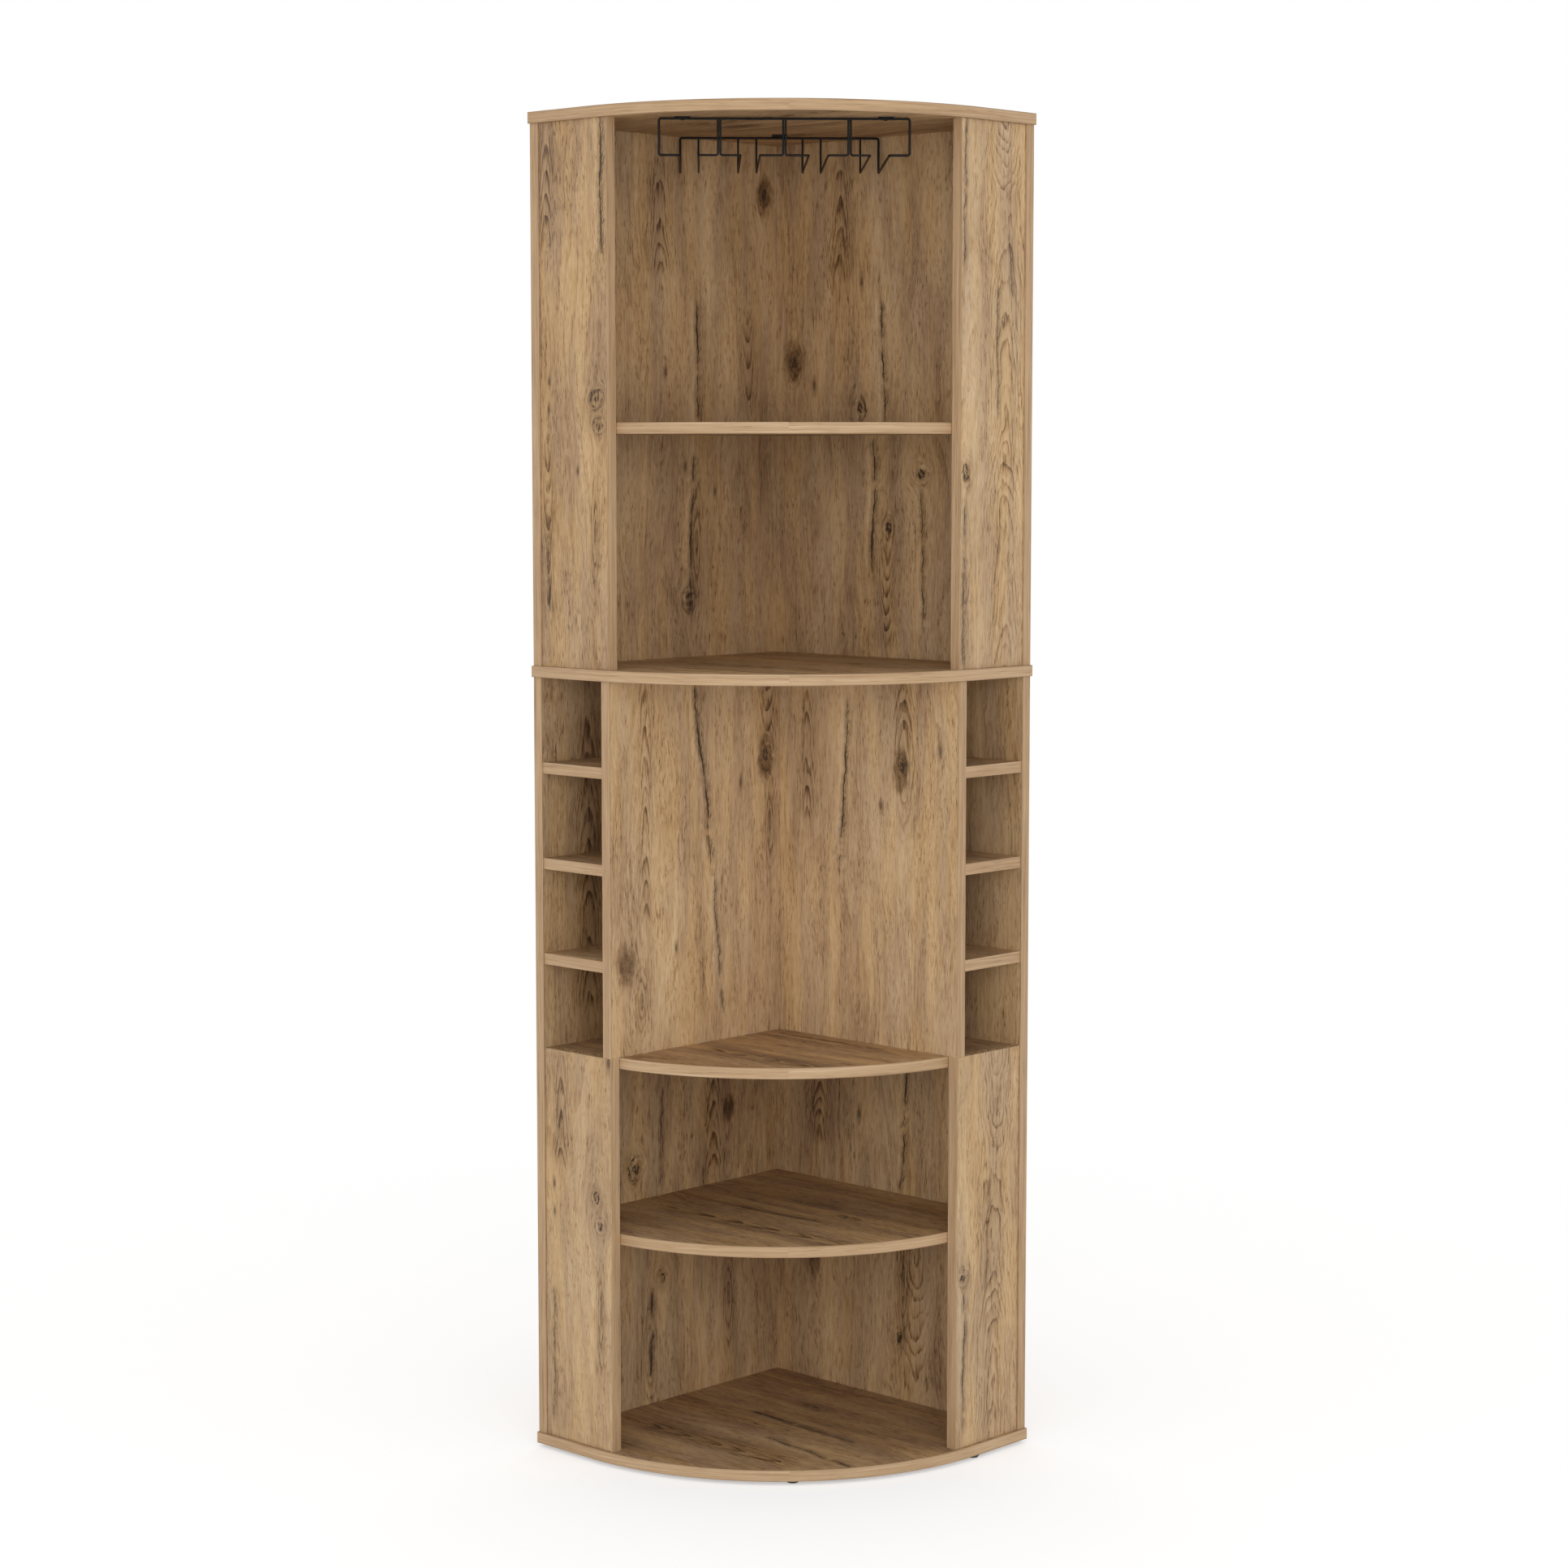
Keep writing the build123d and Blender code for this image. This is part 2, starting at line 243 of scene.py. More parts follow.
def shared(inputs, outputs):
    """Keep the decorated sums as a node group that many materials use."""
    def keep(build):
        tree = bpy.data.node_groups.new(build.__name__, "ShaderNodeTree")
        for way, names in (("INPUT", inputs), ("OUTPUT", outputs)):
            for name in names.split():
                tree.interface.new_socket(name, in_out=way, socket_type="NodeSocketFloat")
        g = Graph(tree)
        given = g.node("NodeGroupInput").outputs
        results = build(g, *[Signal(g, given[name]) for name in inputs.split()])
        g.feed_all(g.node("NodeGroupOutput"), results)
        GROUPS[build.__name__] = tree
        return build
    return keep


# Marks in the oak print. Each takes the place across (u) and along (v) the grain, a depth
# that seeds the board and the grain's sway, and gives a shift of the grain lines, a darker
# tone, a brown stain and a black crack.
MARK = "shift dark stain crack"
AT = "u v depth sway "


@shared(AT + "u0 v0 half_width half_length", MARK)
def knot(g, u, v, depth, sway, u0, v0, half_width, half_length):
    """Grain flows round the knot; inside are torn rings and a split heart."""
    du = (u - u0 + sway * 5.0) / half_width
    dv = (v - v0 + sway * 12.0) / half_length
    reach = du * du + dv * dv
    radius = g.math("SQRT", reach)
    shift = -(u - u0) / g.math("MAXIMUM", reach, 1.0)
    torn = (g.grain(u, v, depth + 12.0, 6.0, 8.0) - 0.5) * 7.0
    rings = g.math("SINE", radius * 6.5 + torn + sway * 14.0)
    chips = g.grain(u, v, depth, 3.0, 6.5)
    inside = g.smooth(reach, 1.9, 0.5)
    dark = inside * (rings * 0.12 + 0.08)
    crescent = inside * g.smooth(chips + rings * 0.09, 0.58, 0.67) * 0.7
    heart = g.bell(radius * 2.4) * g.smooth(chips, 0.44, 0.56) * 0.8
    arc = inside * g.smooth(rings, 0.72, 0.96)
    arc = arc * g.smooth(g.grain(u, v, depth + 3.0, 7.0, 11.0), 0.46, 0.56) * 0.85
    smoke = g.bell(radius * 0.62) * g.smooth(g.grain(u, v, depth, 9.0, 22.0, 3.0), 0.30, 0.60)
    return shift, dark, smoke * 0.55, crescent + heart + arc


@shared(AT + "u0 v0 half_width half_length", MARK)
def blotch(g, u, v, depth, sway, u0, v0, half_width, half_length):
    """Smoky stain with ragged edges and a few black flecks."""
    ragged = (g.grain(u, v, depth, 6.0, 12.0, 3.0) - 0.5) * 2.8
    du = (u - u0) / half_width
    dv = (v - v0) / half_length
    reach = du * du + dv * dv
    shift = (u - u0) * g.bell(g.math("SQRT", reach)) * -0.5
    stain = g.smooth(reach + ragged, 2.1, -0.3)
    flecks = g.smooth(g.grain(u * 0.6 + v, u - v * 0.4, depth, 2.2, 7.0), 0.54, 0.66)
    flecks = flecks * g.smooth(reach + ragged, 1.4, 0.0)
    return shift, stain * 0.12, stain * 0.9, flecks * 0.45


@shared(AT + "u0 low high half_width pitch spread up", MARK)
def tips(g, u, v, depth, sway, u0, low, high, half_width, pitch, spread, up):
    """Column of nested arches, as a flat-sawn board shows."""
    du = (u - u0 + sway * 12.0) / (half_width * 1.5)
    ripple = g.drift(u0, v, depth, 95.0, 1.0) * 1.9 + g.grain(u, v, depth, 9.0, 34.0) * 0.45
    saw = g.math("FRACT", v * up / pitch + du * du + ripple)
    broken = g.smooth(g.grain(u, v, depth, 5.0, 24.0), 0.32, 0.58)
    span = g.within(v, low, high, 30.0) * (broken * 0.6 + 0.4)
    near = g.bell(du / spread)
    apex = g.bell(du / 0.7)
    dark = g.smooth(saw, 0.30, 0.95) * (near * 0.36 + apex * 0.10) * span
    line = g.smooth(saw, 0.70, 0.94) * near * span * 0.24
    return 0.0, dark, near * span * 0.22, line


@shared(AT + "u0 low high half_width pitch slope", MARK)
def flames(g, u, v, depth, sway, u0, low, high, half_width, pitch, slope):
    """Cathedral grain: crisp ring lines of a trunk whose heart tilts away from the face."""
    across = u - u0 + sway * 14.0 + (g.drift(u0, v, depth, 70.0) - 0.5) * 16.0
    heart = g.math("MAXIMUM", (v - low) * slope, (v - high) * slope)
    heart = heart + (g.drift(high, v, depth + 8.0, 110.0) - 0.5) * 22.0 + 9.0
    radius = g.math("SQRT", across * across + heart * heart)
    warp = g.grain(u, v, depth, 16.0, 70.0) * 1.6 + g.grain(u, v, depth, 4.0, 20.0) * 0.30
    ring = radius / pitch + warp
    year = g.math("FLOOR", ring)
    saw = g.math("FRACT", ring)
    bold = g.smooth(g.drift(year * 3.7, v, depth + 6.0, 90.0), 0.34, 0.62) * 0.75 + 0.25
    torn = g.smooth(g.grain(u, v, depth + 2.0, 2.2, 18.0), 0.34, 0.60) * 0.6 + 0.4
    span = g.within(v, low, high, 24.0) * g.bell(across / half_width) * bold * torn
    wash = g.smooth(saw, 0.20, 0.95)
    line = g.smooth(saw, 0.66, 0.90)
    return 0.0, (wash * 0.24 + line * 0.26) * span, 0.0, line * span * 0.14


@shared(AT + "u0 v0 u1 v1 width", MARK)
def split(g, u, v, depth, sway, u0, v0, u1, v1, width):
    """Barbed crack from (u0, v0) up to (u1, v1), pale along one side."""
    line = u0 + (v - v0) * (u1 - u0) / (v1 - v0)
    wander = (g.drift(u0, v, depth, 70.0) - 0.5) * 15.0
    jag = (g.drift(u1, v, depth, 10.0) - 0.5) * 5.0
    off = u - line - wander - jag
    here = g.drift(v0, v, depth, 38.0, 3.0)
    open_here = g.smooth(here, 0.32, 0.46) * g.within(v, v0, v1, 16.0)
    half_gap = width * (g.smooth(here, 0.38, 0.70) + 0.22)
    core = g.smooth(g.math("ABSOLUTE", off) / half_gap, 1.0, 0.45)
    barbs = g.smooth(g.grain(off * 1.1 - v * 0.4, v, depth, 1.3, 9.0, 3.0), 0.50, 0.62)
    barbs = barbs * g.bell((off - width) / (width * 2.2 + 1.8)) * 0.68
    pale = g.bell((off + width * 2.6 + 3.5) / 4.0) * open_here * 0.16
    stain = g.bell(off / 7.0) * open_here * 0.40
    return 0.0, -pale, stain, (core * 0.9 + barbs) * open_here


@shared(AT + "u0 v0 half_width half_length", MARK)
def ovals(g, u, v, depth, sway, u0, v0, half_width, half_length):
    """Long nested ovals round a thin dark slit."""
    du = (u - u0 + sway * 8.0) / half_width
    dv = (v - v0) / half_length
    reach = g.math("SQRT", du * du + dv * dv)
    ripple = g.grain(u, v, depth, 10.0, 32.0) * 1.2
    ripple = ripple + g.grain(u, v, depth + 4.0, 24.0, 90.0) * 2.0
    rings = g.smooth(g.math("FRACT", -(reach * 3.4) + ripple), 0.45, 1.0)
    fade = g.smooth(reach, 1.4, 0.5)
    return 0.0, rings * fade * 0.34, fade * 0.25, g.bell(reach * 6.5) * 0.6


@shared(AT + "u0 v0 size", MARK)
def spot(g, u, v, depth, sway, u0, v0, size):
    """Small dark pin knot."""
    du = (u - u0 + sway * 3.0) / size
    dv = (v - v0) / (size * 2.8)
    reach = du * du + dv * dv
    shift = -(u - u0) / g.math("MAXIMUM", reach, 1.0)
    return shift, 0.0, g.smooth(reach, 6.0, 0.6) * 0.5, g.smooth(reach, 1.2, 0.2) * 0.6


@shared("u v depth", "sway flow")
def lines(g, u, v, depth):
    """Small sway of the grain lines, and the place across with it and a slow drift."""
    slow = g.grain(u, v, depth, 80.0, 430.0) - 0.5
    sway = g.grain(u, v, depth, 22.0, 110.0) - 0.5
    return sway, u + slow * 36.0 + sway * 8.0


@shared("flow v depth", "tone gold fine pores")
def figure(g, flow, v, depth):
    """Tone from 0 dark to 1 pale, golden tint, fine grain and pores."""
    def layer(seed, width, length, detail=2.0):
        """Noise along the swaying grain lines; each seed gives another pattern."""
        return g.grain(flow, v, depth + seed, width, length, detail)

    field = layer(17.0, 46.0, 400.0, 1.0) * 9.0 + flow / 21.0
    ring = g.math("FRACT", field + layer(21.0, 6.0, 40.0, 1.0) * 0.25)
    rings = g.smooth(ring, 0.35, 0.95) * g.smooth(layer(19.0, 34.0, 240.0, 1.0), 0.36, 0.62)
    torn = g.smooth(layer(23.0, 2.3, 30.0, 3.0), 0.60, 0.68)
    torn = torn * g.smooth(layer(25.0, 26.0, 150.0, 1.0), 0.48, 0.64)
    patch = layer(0.0, 55.0, 340.0) - 0.5
    band = layer(3.0, 15.0, 300.0) - 0.5
    streak = layer(5.0, 4.4, 110.0) - 0.5
    dashes = g.smooth(layer(27.0, 2.6, 30.0), 0.47, 0.63)
    fine = layer(7.0, 1.6, 15.0, 1.0) - 0.5
    cloud = layer(13.0, 26.0, 130.0) - 0.5
    few = g.smooth(layer(15.0, 20.0, 110.0, 1.0), 0.38, 0.62)
    pores = g.smooth(layer(9.0, 1.5, 12.0), 0.56, 0.66) * (few * 0.65 + 0.35)
    gold = g.smooth(layer(11.0, 30.0, 240.0), 0.36, 0.66)
    tone = 0.69 + patch * 0.56 + band * 0.14 + streak * 0.16 + cloud * 0.14 + fine * 0.34
    tone = tone + gold * 0.04 - dashes * 0.13 - rings * 0.12 - torn * 0.30 - pores * 0.30
    return tone, gold, fine, pores + torn * 0.6


# Tones of the print from dark grain to pale streak, grey and golden
OAK_GREY = [
    (0.00, srgb(86, 65, 45)), (0.22, srgb(130, 101, 73)), (0.42, srgb(160, 128, 95)),
    (0.60, srgb(178, 147, 112)), (0.80, srgb(194, 165, 130)), (1.00, srgb(208, 182, 148)),
]
OAK_GOLD = [
    (0.00, srgb(98, 70, 41)), (0.22, srgb(145, 110, 71)), (0.42, srgb(176, 140, 96)),
    (0.60, srgb(194, 159, 114)), (0.80, srgb(208, 176, 133)), (1.00, srgb(219, 192, 152)),
]

# The tone that contrast turns about, and the colours of cracks, stains and dark edges, partly worn
# and partly painted shade
MEAN_TONE = 0.55
OAK_CRACK = srgb(54, 41, 31)
OAK_STAIN = srgb(172, 162, 150)
OAK_WEAR_AND_SHADE = srgb(112, 84, 56)


def oak_print(g, u, v, w, seed, marks, light_shade_lift, contrast):
    """Printed colour and relief of one board, from the places across, along and through it;
    the lift makes its tone paler, or darker below zero, as painted light and shade."""
    depth = w / 40.0 + seed
    sway, flow = g.use("lines", u, v, depth)
    dark = stain = crack = 0.0
    for kind, *values in marks:
        shift, darker, stained, cracked = g.use(kind, u, v, depth, sway, *values)
        flow = flow + shift
        dark = dark + darker
        stain = stain + stained
        crack = crack + cracked
    tone, gold, fine, pores = g.use("figure", flow, v, depth)
    tone = (tone - MEAN_TONE - dark) * contrast + (MEAN_TONE + light_shade_lift)
    colour = g.mix(gold, g.ramp(tone, OAK_GREY), g.ramp(tone, OAK_GOLD))
    stained = g.mix(1.0, colour, OAK_STAIN, "MULTIPLY")
    colour = g.mix(g.math("MINIMUM", stain, 0.95), colour, stained)
    crack = g.math("MINIMUM", crack, 0.94)
    colour = g.mix(crack, colour, OAK_CRACK)
    return colour, fine * 0.4 - pores * 0.6 - crack * 1.2


def chipboard(g, x, y, z):
    """Raw edge of the board: pressed flakes with dark gaps."""
    flakes = g.node("ShaderNodeTexVoronoi")
    place = g.vector(x / FLAKE_LENGTH, y / FLAKE_LENGTH, z / FLAKE_THICKNESS)
    g.feed(flakes.inputs["Vector"], place)
    flakes.inputs["Scale"].default_value = 1.0
    shade = g.separate(flakes.outputs["Color"])[0]
    gap = g.smooth(Signal(g, flakes.outputs["Distance"]), 0.45, 0.75)
    return g.ramp(shade * 0.75 + 0.2 - gap * 0.4, [
        (0.0, srgb(96, 70, 44)), (0.4, srgb(156, 124, 86)),
        (0.75, srgb(186, 156, 114)), (1.0, srgb(208, 182, 142)),
    ])


# Marks on the boards in mm: the kind, the place across and along the grain, then the mark's
# own sizes. Boards in the plane of the right wall have X across and the others Y; level
# boards have Y across and X along.
MARKS = {
    "left_upper_end_panel": [
        ("tips", -209, 1620, 1775, 6, 36, 1.7, 1), ("split", -104, 1612, -103, 1800, 2.2),
        ("knot", -114, 1424, 12, 13), ("knot", -109, 1388, 11, 11), ("spot", -204, 1447, 2.2),
        ("spot", -205, 1410, 2.0), ("tips", -208, 1130, 1370, 5, 44, 1.7, -1),
        ("split", -205, 1145, -210, 1245, 0.6), ("ovals", -118, 1250, 10, 85),
        ("spot", -150, 1330, 1.6),
    ],
    "right_upper_end_panel": [
        ("flames", 178, 1690, 1830, 40, 4.0, -0.24), ("flames", 184, 1330, 1690, 46, 4.2, 0.10),
        ("split", 168, 1400, 166, 1590, 0.7), ("split", 196, 1560, 190, 1640, 0.9),
        ("knot", 105, 1325, 11, 15), ("split", 100, 1075, 102, 1290, 1.0),
        ("split", 99, 1600, 101, 1790, 0.7), ("flames", 186, 1050, 1350, 46, 4.2, 0.11),
    ],
    "left_upper_wall_panel": [
        ("blotch", 196, 1716, 15, 24), ("knot", 194, 1714, 8, 14),
        ("split", 64, 1400, 60, 1560, 2.4),
        ("tips", 163, 1410, 1540, 6, 34, 1.7, -1), ("split", 44, 1130, 54, 1350, 1.8),
        ("knot", 44, 1150, 12, 16), ("spot", 38, 1335, 3.0), ("spot", 96, 1300, 2.4),
        ("tips", -10, 1600, 1750, 8, 36, 2.2, 1), ("ovals", -120, 1500, 14, 110),
        ("spot", 0, 1465, 2.4), ("ovals", 60, 1230, 14, 90),
    ],
    "right_upper_wall_panel": [
        ("blotch", -188, 1483, 18, 28), ("knot", -186, 1480, 9, 15),
        ("split", -16, 1396, -24, 1560, 2.2),
        ("knot", -61, 1416, 11, 15), ("knot", 52, 1324, 13, 14), ("knot", -8, 1251, 11, 14),
        ("split", -38, 1190, -34, 1372, 2.6), ("split", 57, 1110, 52, 1300, 1.4),
        ("spot", -149, 1448, 3.0), ("tips", -100, 1600, 1760, 8, 38, 2.0, 1),
        ("spot", -60, 1590, 2.6), ("tips", -10, 1090, 1240, 6, 24, 3.0, -1),
    ],
    "left_lower_wall_panel": [
        ("knot", -66, 361, 13, 17), ("knot", -13, 196, 10, 12), ("split", -36, 60, -35, 178, 2.4),
        ("ovals", -36, 95, 18, 85), ("split", -19, 330, -13, 458, 1.2),
        ("tips", 90, 330, 520, 8, 34, 2.2, 1), ("blotch", 120, 420, 12, 18),
        ("ovals", 120, 150, 14, 90), ("spot", -120, 900, 3.0), ("spot", -60, 780, 2.4),
        ("tips", -150, 600, 1000, 9, 42, 1.8, 1),
    ],
    "right_lower_wall_panel": [
        ("knot", 16, 107, 8, 14), ("ovals", 24, 200, 14, 100), ("split", 19, 310, 31, 495, 2.0),
        ("tips", -137, 370, 480, 7, 26, 2.4, 1), ("blotch", -150, 200, 13, 30),
        ("spot", -60, 420, 3.0), ("flames", 48, 40, 290, 38, 4.4, -0.14),
        ("tips", 120, 600, 980, 9, 44, 1.8, 1), ("spot", 60, 700, 2.6),
    ],
    "left_lower_end_panel": [
        ("spot", -205, 370, 2.2), ("spot", -205, 332, 2.0), ("knot", -122, 361, 9, 11),
        ("knot", -114, 324, 10, 11), ("ovals", -114, 205, 11, 90), ("spot", -97, 548, 3.0),
        ("split", -208, 45, -206, 225, 0.45), ("tips", -190, 400, 545, 7, 40, 1.7, 1),
    ],
    "right_lower_end_panel": [
        ("flames", 174, 400, 590, 42, 4.2, -0.16), ("knot", 107, 253, 10, 13),
        ("split", 106, 45, 108, 228, 1.0), ("flames", 168, 0, 400, 46, 4.2, 0.10),
        ("split", 152, 230, 160, 380, 0.4),
    ],
    "left_rack_divider": [
        ("tips", -167, 735, 1045, 6, 42, 1.7, 1), ("blotch", -203, 676, 17, 26),
        ("split", -40, 780, -74, 1042, 2.4), ("knot", 63, 938, 10, 18), ("ovals", 72, 850, 12, 75),
        ("blotch", 64, 936, 15, 30),
        ("tips", 66, 960, 1040, 9, 30, 1.7, -1), ("spot", 15, 905, 2.4), ("spot", -110, 690, 2.2),
        ("ovals", -176, 625, 14, 50), ("split", -22, 600, -38, 775, 0.9),
    ],
    "right_rack_divider": [
        ("split", 20, 800, 35, 1020, 1.9), ("knot", 131, 935, 9, 14), ("ovals", 137, 940, 22, 95),
        ("tips", -41, 850, 1030, 6, 40, 1.7, 1), ("tips", 136, 985, 1050, 8, 24, 1.8, 1),
        ("spot", 200, 960, 3.0), ("spot", 95, 880, 2.2), ("blotch", 131, 930, 12, 28),
    ],
    "base_panel": [
        ("split", 35, -90, 22, 110, 2.4), ("split", -40, 10, -60, 180, 2.0),
        ("tips", -110, -150, 120, 8, 50, 2.0, 1), ("knot", 110, -40, 8, 18),
    ],
    "lower_shelf": [
        ("tips", -60, -160, 160, 9, 60, 2.0, 1), ("knot", 60, 60, 9, 20),
        ("split", 10, -100, 16, 60, 1.4),
    ],
    "bar_shelf": [("tips", -90, -60, 200, 8, 50, 2.0, 1), ("split", 70, -80, 66, 120, 1.4)],
    "upper_shelf": [("tips", 30, -150, 190, 9, 56, 2.0, 1), ("knot", -70, 40, 9, 18)],
    "counter_panel": [
        ("tips", -40, -190, 160, 9, 60, 2.0, 1), ("split", -130, -60, -126, 150, 1.6),
        ("knot", 90, 50, 9, 20),
    ],
    "top_panel": [
        ("split", 20, -120, 30, 80, 2.0), ("tips", -80, -100, 190, 9, 54, 2.0, 1),
        ("knot", 120, -90, 9, 20), ("blotch", -20, -60, 16, 34),
    ],
}

# How much paler than its mean the print is on each kind of board, or darker below zero,
# then on single boards that differ from their kind. This is painted light and shade: level
# boards are darker as painted shade on their faces inside the niches, wall panels darker as
# painted shade at the back of the niches, and uprights a little paler as painted light. The
# left upper end panel is darker and the right end panels paler for how the light falls on each
# side.
LEVEL_SHADE_LIFT, WALL_SHADE_LIFT, UPRIGHT_LIGHT_LIFT = -0.20, -0.05, 0.02
BOARD_LIGHT_SHADE_LIFTS = {
    "left_upper_end_panel": -0.12, "right_upper_end_panel": 0.06, "right_lower_end_panel": 0.07,
    "top_panel": -0.12,
}
STRONG_CONTRAST = 1.12

# Mean tone of the edge bands by how they run, then what single bands add to it
BAND_TONES = {"level": 0.56, "arc": 0.62, "upright": 0.54}
BAND_EXTRAS = {
    "top_panel_edge_band": -0.06, "base_panel_edge_band": 0.07, "bar_shelf_edge_band": 0.03,
}
OAK_SPECULAR = 0.35


def oak_board(name, seed):
    """Oak-look board, with raw chipboard on the edges that have no band."""
    low, high = (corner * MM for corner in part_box(name))
    size = high - low
    through = min(range(3), key=lambda axis: size[axis])
    is_level = through == 2
    along = 0 if is_level else 2
    across = 3 - through - along
    g = Surface("oak_" + name, OAK_SPECULAR)
    u, v, w = g.point[across], g.point[along], g.point[through]
    # Painted light and shade: the lift darkens level boards and wall panels and pales uprights for
    # how light falls on them.
    kind_light_shade_lift = LEVEL_SHADE_LIFT if is_level else WALL_SHADE_LIFT if "wall" in name else UPRIGHT_LIGHT_LIFT
    contrast = STRONG_CONTRAST if "wall" in name or "divider" in name else 1.0
    light_shade_lift = BOARD_LIGHT_SHADE_LIFTS.get(name, kind_light_shade_lift)
    colour, height = oak_print(g, u, v, w, seed, MARKS.get(name, []), light_shade_lift, contrast)
    edge = g.math("MINIMUM", u - low[across], high[across] - u)
    if not is_level:
        edge = g.math("MINIMUM", edge, g.math("MINIMUM", v - low[along], high[along] - v))
    # Dark edges: partly wear, partly painted shade along the joints where boards meet.
    wear_and_shade = g.smooth(edge, EDGE_DARK_END, EDGE_DARK_FULL) * g.smooth(g.grain(u, v, 0.0, 8.0, 20.0), 0.30, 0.60)
    colour = g.mix(wear_and_shade * WEAR_AND_SHADE_SHARE, colour, OAK_WEAR_AND_SHADE)
    facing = g.math("ABSOLUTE", g.separate(g.normal)[through])
    colour = g.mix(g.math("GREATER_THAN", facing, 0.5), chipboard(g, *g.point), colour)
    return g.finish(colour, 0.55 + g.grain(u, v, 0.0, 3.0, 60.0) * 0.16, height, BOARD_RELIEF)


OAK_BAND = [
    (0.00, srgb(112, 82, 54)), (0.25, srgb(150, 118, 84)), (0.50, srgb(180, 147, 110)),
    (0.75, srgb(197, 166, 129)), (1.00, srgb(213, 186, 150)),
]
# Dark colour of the band's upper and lower edges: partly wear, partly painted shade where the band
# meets the boards.
BAND_WEAR_AND_SHADE = srgb(122, 92, 62)


@shared("length side seed", "tone relief")
def band_figure(g, length, side, seed):
    """Streaks along an edge band: tone from 0 dark to 1 pale, and relief."""
    flow = side + (g.grain(length, side, seed, 150.0, 40.0) - 0.5) * 7.0
    soft = g.grain(length, flow, seed, 230.0, 5.5) - 0.5
    streak = g.grain(length, flow, seed + 3.0, 120.0, 1.9) - 0.5
    dash = g.smooth(g.grain(length, flow, seed + 5.0, 30.0, 0.8, 1.0), 0.62, 0.76)
    mottle = g.grain(length, flow, seed + 8.0, 45.0, 9.0) - 0.5
    return soft * 0.50 + streak * 0.80 + mottle * 0.20 - dash * 0.24, streak - dash * 0.4


def oak_band(name, seed, run):
    """Oak-look edge band, streaked along its length, which runs level, upright or in an arc."""
    g = Surface("oak_" + name, OAK_SPECULAR)
    x, y, z = g.point
    low, high = (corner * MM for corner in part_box(name))
    wear_and_shade = 0.0
    if run == "arc":
        radius = SHELF_RADIUS if "shelf" in name else FRONT_RADIUS
        turn = g.math("ARCTAN2", x - (high.x - radius), low.y + radius - y)
        length = turn * radius + g.math("GREATER_THAN", turn, SECOND_STRIP) * STRIP_OFFSET
        edge = g.math("MINIMUM", z - low.z, high.z - z)
        # Dark upper and lower edges of a curved band: partly wear, partly painted shade where the
        # band meets the boards.
        wear_and_shade = g.smooth(edge, EDGE_DARK_END, EDGE_DARK_FULL) * WEAR_AND_SHADE_SHARE
    else:
        length = z if run == "upright" else x + y
    side = x + y if run == "upright" else z
    tone, relief = g.use("band_figure", length, side, seed)
    colour = g.ramp(tone + (BAND_TONES[run] + BAND_EXTRAS.get(name, 0.0)), OAK_BAND)
    colour = g.mix(wear_and_shade, colour, BAND_WEAR_AND_SHADE)
    return g.finish(colour, 0.50 + relief * 0.15, relief, BAND_RELIEF)


def mottled(g, dark, pale, grain_size, cloud_size, relief, rough, rough_range):
    """Fine-grained finish with a slow change of tone and roughness."""
    grain = g.noise(*[axis / grain_size for axis in g.point])
    cloud = g.noise(*[axis / cloud_size for axis in g.point], 3.0)
    colour = g.ramp(cloud, [(0.3, dark), (0.7, pale)])
    return g.finish(colour, rough + cloud * rough_range, grain, relief)


powder_coat = mottled(Surface("black_powder_coat", specular=0.22), srgb(6, 6, 7),
                      srgb(14, 15, 16), 0.9, 14.0, 0.0001, 0.42, 0.12)
plastic = mottled(Surface("black_plastic"), srgb(20, 20, 21), srgb(44, 43, 42),
                  0.6, 5.0, 0.00008, 0.45, 0.25)
beech = mottled(Surface("beech"), srgb(178, 136, 94), srgb(222, 188, 144),
                0.8, 5.0, 0.0001, 0.55, 0.15)
zinc = mottled(Surface("zinc_plate", metallic=1.0), srgb(176, 172, 158), srgb(208, 208, 204),
               0.7, 2.2, 0.00005, 0.25, 0.20)
FINISHES = {
    "stemware_rack": powder_coat, "rack_screws": powder_coat, "glides": plastic,
    "assembly_screws": zinc, "glide_nails": zinc, "dowels": beech,
}
SEED_STEP = 13.7


def finish_for(name, seed):
    """Material of the node with this name."""
    if name in FINISHES:
        return FINISHES[name]
    if name.endswith("cubby_edge_bands"):
        return oak_band(name, seed, "level")
    if not name.endswith("_edge_band"):
        return oak_board(name, seed)
    is_curved = name.removesuffix("_edge_band") in CURVED
    return oak_band(name, seed, "arc" if is_curved else "upright")


for order, name in enumerate(sorted(nodes)):
    slots = nodes[name].data.materials
    material = finish_for(name, order * SEED_STEP)
    if not slots:
        slots.append(material)
    for i in range(len(slots)):
        slots[i] = material


# Stage
def seen_directly(g):
    """1 for what the camera, a mirror or glass sees, else 0."""
    path = g.node("ShaderNodeLightPath").outputs
    seen = path["Is Camera Ray"]
    for name in ("Is Glossy Ray", "Is Transmission Ray"):
        seen = g.math("MAXIMUM", seen, path[name])
    return seen


def light_room():
    """White light from all round, weaker overhead, that looks plain white where it is seen."""
    world = bpy.data.worlds.new("studio")
    bpy.context.scene.world = world
    world.use_nodes = True
    g = Graph(world.node_tree)
    background = world.node_tree.nodes["Background"]
    background.inputs["Color"].default_value = (1.0, 1.0, 1.0, 1.0)
    height = g.separate(g.node("ShaderNodeTexCoord").outputs["Generated"])[2]
    light = g.remap("LINEAR", height, 0.0, 1.0, HORIZON_LIGHT, OVERHEAD_LIGHT)
    light = g.remap("LINEAR", seen_directly(g), 0.0, 1.0, light, 1.0)
    g.feed(background.inputs["Strength"], light)


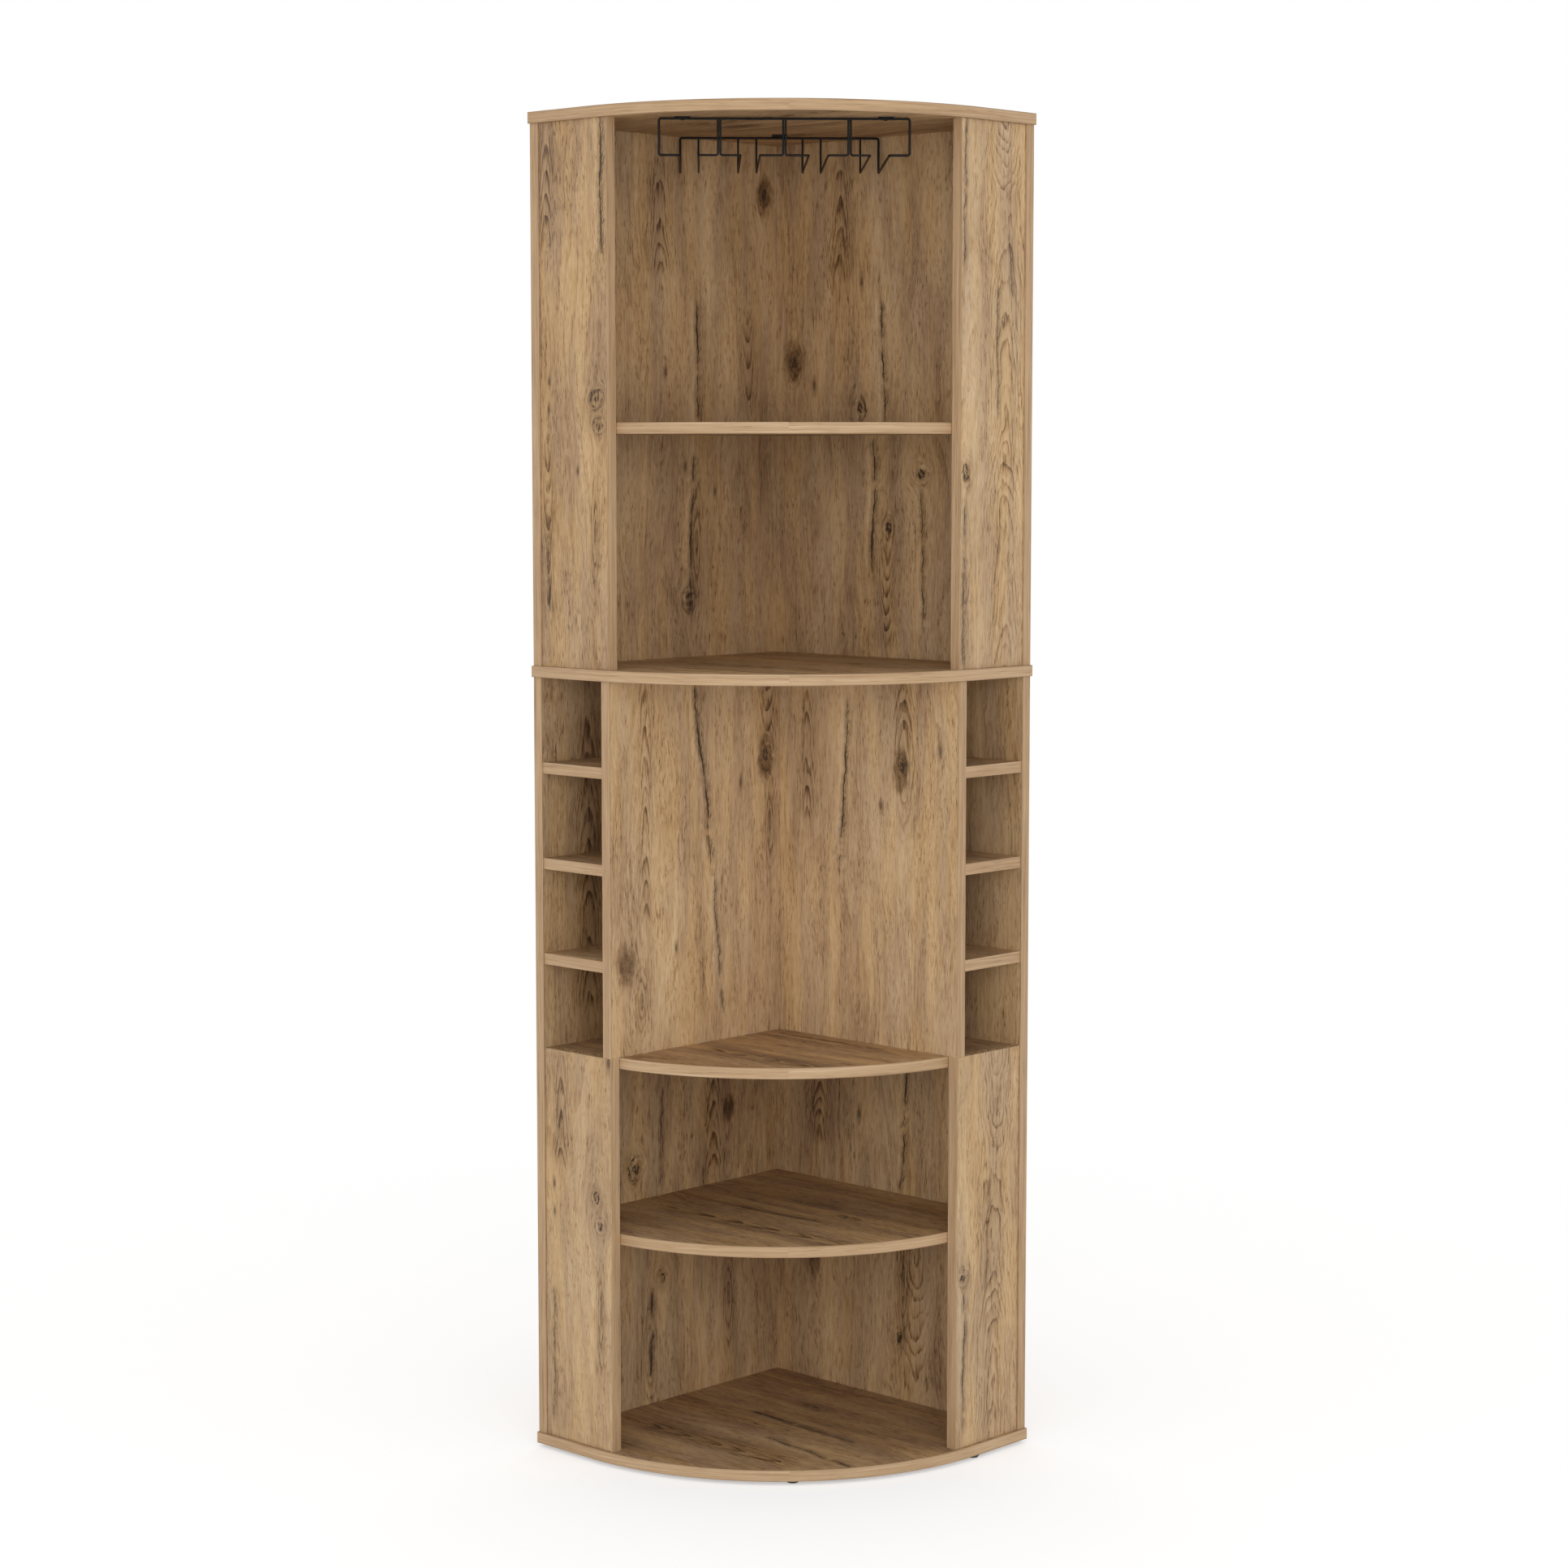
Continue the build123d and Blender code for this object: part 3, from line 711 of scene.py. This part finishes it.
def floor_paper():
    """Grey paper that fades to plain white with the distance. Where it is seen it is a little
    brighter than the light that it gives to the part."""
    material = bpy.data.materials.new("floor_paper")
    material.use_nodes = True
    material.node_tree.nodes.clear()
    g = Graph(material.node_tree)
    seen = seen_directly(g)
    diffuse = g.node("ShaderNodeBsdfDiffuse")
    diffuse.inputs["Color"].default_value = FLOOR_GREY
    glow = g.node("ShaderNodeEmission")
    g.feed(glow.inputs["Strength"], seen * FLOOR_LIFT)
    near = g.feed_all(g.node("ShaderNodeAddShader"), (diffuse.outputs[0], glow.outputs[0]))
    white = g.node("ShaderNodeEmission")
    distance = g.node("ShaderNodeVectorMath", operation="LENGTH")
    g.feed(distance.inputs[0], g.node("ShaderNodeTexCoord").outputs["Object"])
    far = g.smooth(Signal(g, distance.outputs["Value"]), WHITE_FROM, WHITE_BY)
    shaders = (near.outputs[0], white.outputs[0])
    blend = g.feed_all(g.node("ShaderNodeMixShader"), (far * seen, *shaders))
    g.feed(g.node("ShaderNodeOutputMaterial").inputs["Surface"], blend.outputs[0])
    return material


light_room()

corners = [(-FLOOR_HALF, -FLOOR_HALF, 0), (FLOOR_HALF, -FLOOR_HALF, 0),
           (FLOOR_HALF, FLOOR_HALF, 0), (-FLOOR_HALF, FLOOR_HALF, 0)]
floor_mesh = bpy.data.meshes.new("floor")
floor_mesh.from_pydata(corners, [], [(0, 1, 2, 3)])
floor_mesh.materials.append(floor_paper())
floor = bpy.data.objects.new("floor", floor_mesh)
bpy.context.scene.collection.objects.link(floor)


def softbox(name, place, size, power):
    """Large soft lamp that faces the middle of the part."""
    data = bpy.data.lights.new(name, "AREA")
    data.shape = "RECTANGLE"
    data.size, data.size_y = size
    data.energy = power
    lamp = bpy.data.objects.new(name, data)
    lamp.location = place
    middle = (cad_box[0] + cad_box[1]) / 2
    lamp.rotation_euler = (middle - Vector(place)).to_track_quat("-Z", "Y").to_euler()
    bpy.context.scene.collection.objects.link(lamp)


softbox("front_light", place=(3.0, -2.4, 1.4), size=(2.2, 1.8), power=24.0)
softbox("side_light", place=(1.6, -3.5, 1.4), size=(2.0, 1.8), power=8.0)

lens = bpy.data.cameras.new("camera")
lens.lens = CAMERA_LENS
lens.sensor_width = CAMERA_SENSOR
camera = bpy.data.objects.new("camera", lens)
camera.location = CAMERA_PLACE
camera.rotation_euler = (radians(CAMERA_TILT), 0.0, radians(CAMERA_TURN))
bpy.context.scene.collection.objects.link(camera)
bpy.context.scene.camera = camera
bpy.context.scene.view_settings.view_transform = "Standard"
